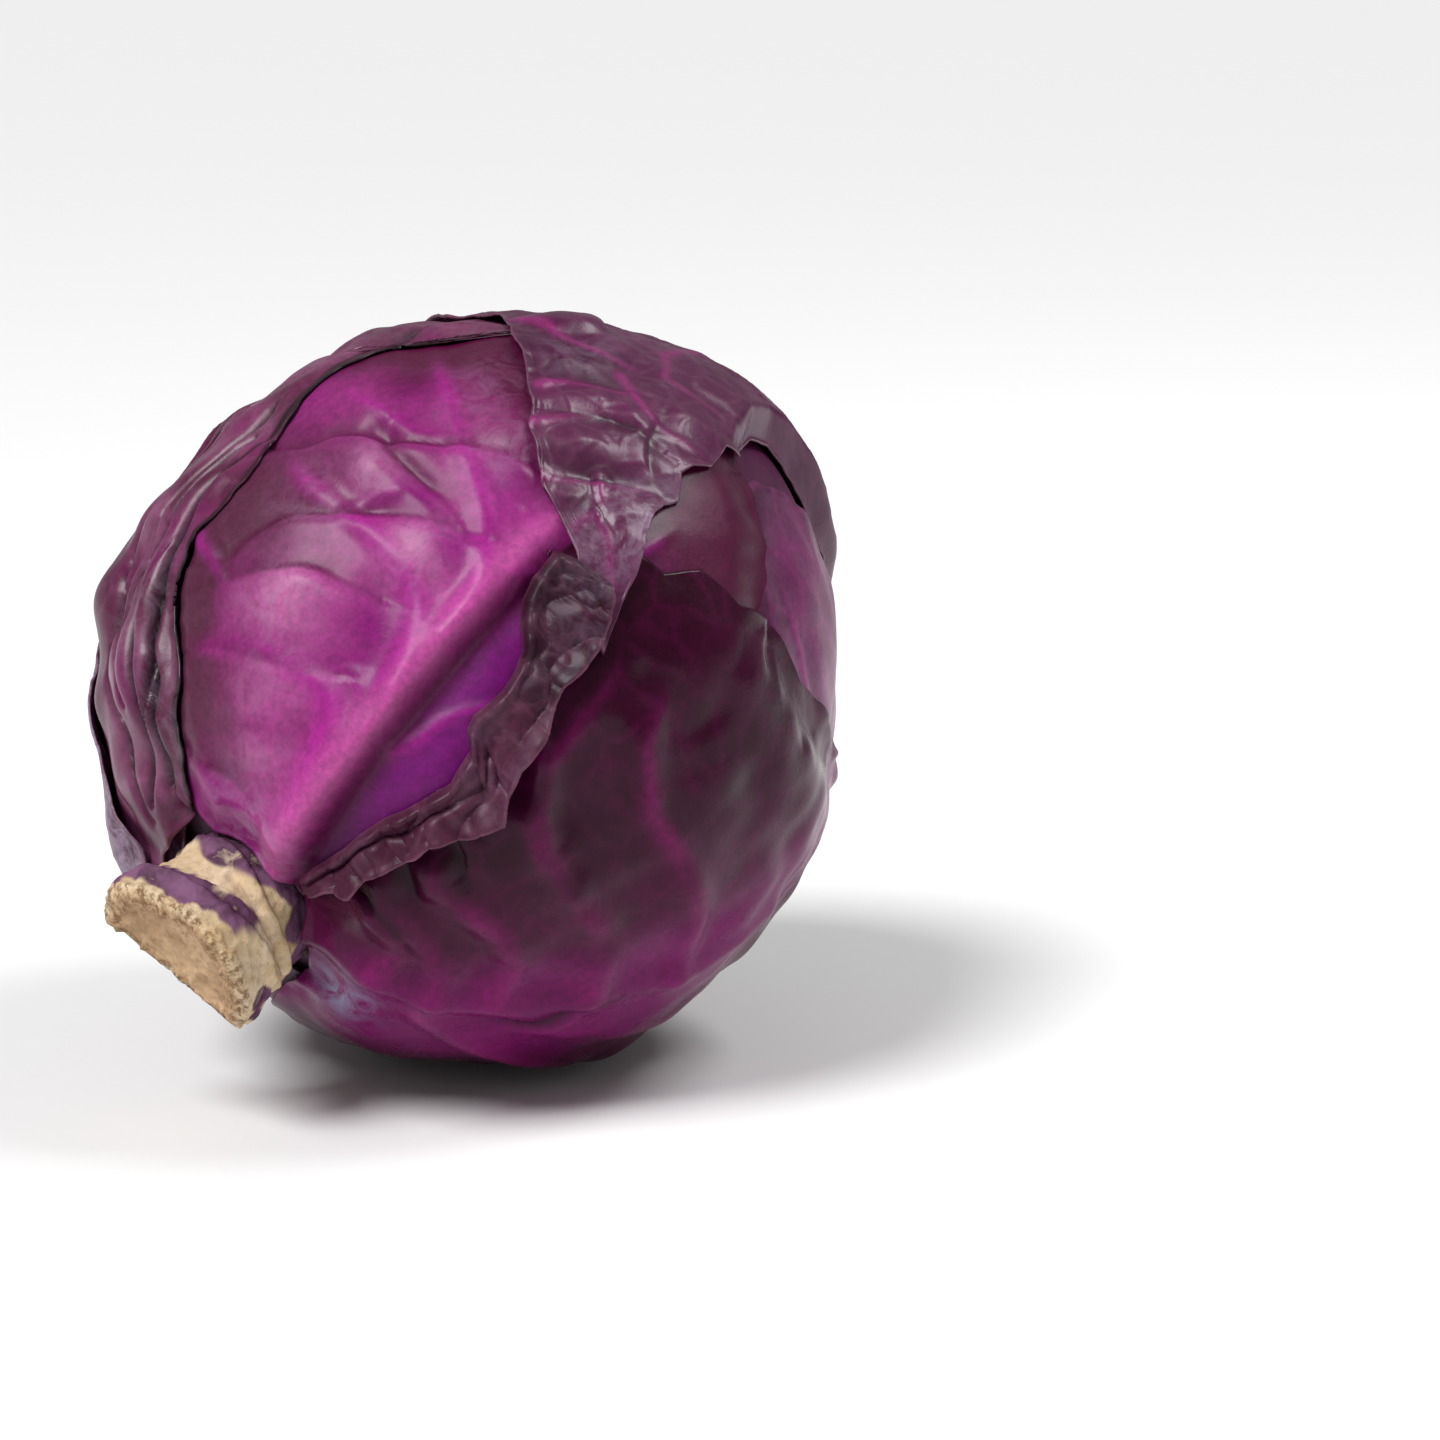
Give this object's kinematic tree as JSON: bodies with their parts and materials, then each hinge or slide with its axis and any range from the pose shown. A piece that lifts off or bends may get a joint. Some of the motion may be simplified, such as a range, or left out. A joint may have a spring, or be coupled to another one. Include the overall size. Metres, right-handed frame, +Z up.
{
  "type": "red cabbage",
  "caption": "Whole red cabbage head lying on its side, wrapped in glossy purple outer leaves with raised ribs and folded margins, cut stalk stump at its base",
  "frame": {"origin": "centre of the small flat spot that the head rests on, straight below the middle of the head", "axes": "+Z is up, -Y faces the viewer of the picture, +X is the viewer's right; the stalk points to -X, -Y and a little down"},
  "size_m": [0.1563, 0.1606, 0.1535],
  "materials": {
    "inner_leaves": "moist, tightly wrapped purple leaf",
    "cut_stalk": "dry corky cut face with cream sides",
    "dark_leaf": "waxy dark purple leaf",
    "magenta_leaf": "waxy magenta leaf with pale veins",
    "wine_leaf": "glossy dark wine leaf with pink veins"
  },
  "bodies": {
    "root": {"inner_head": "inner_leaves", "stump": "cut_stalk", "back_leaf": "dark_leaf", "right_leaf": "dark_leaf", "under_leaf": "dark_leaf", "upper_left_leaf": "dark_leaf", "front_leaf": "magenta_leaf", "left_leaf": "dark_leaf", "lower_right_leaf": "wine_leaf", "crown_leaf": "dark_leaf"}
  },
  "joints": []
}
